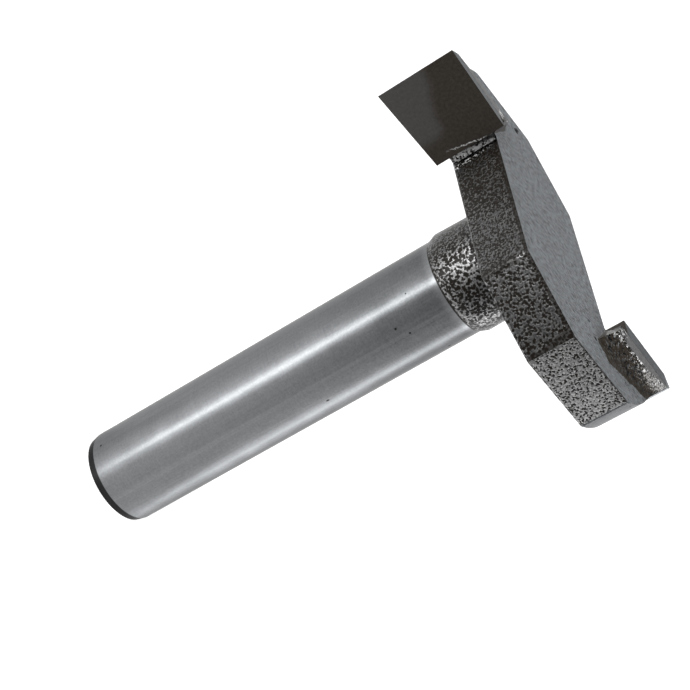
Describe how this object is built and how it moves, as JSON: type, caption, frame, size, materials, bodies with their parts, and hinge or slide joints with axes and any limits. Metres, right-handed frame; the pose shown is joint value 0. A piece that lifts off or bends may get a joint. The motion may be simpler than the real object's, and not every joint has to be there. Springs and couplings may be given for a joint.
{
  "type": "t-slot router bit",
  "caption": "T-slot router cutter with a plain straight shank and carbide tips brazed to a flat S-shaped wing head.",
  "frame": {"origin": "centre of the flat end of the shank, on the tool's axis", "axes": "+Z along the tool's axis toward the cutting head, X along the two wings"},
  "size_m": [0.0494, 0.0364, 0.0699],
  "materials": {
    "body_steel": "ground shank and end face, dark silver-veined hammered coat on the head",
    "tungsten_carbide": "fine ground, dark grey",
    "silver_braze": "rough, pitted fillet of solder"
  },
  "bodies": {
    "root": {"cutter_body": "body_steel", "carbide_tip_1": "tungsten_carbide", "carbide_tip_2": "tungsten_carbide", "braze_joint_1": "silver_braze", "braze_joint_2": "silver_braze"}
  },
  "joints": []
}
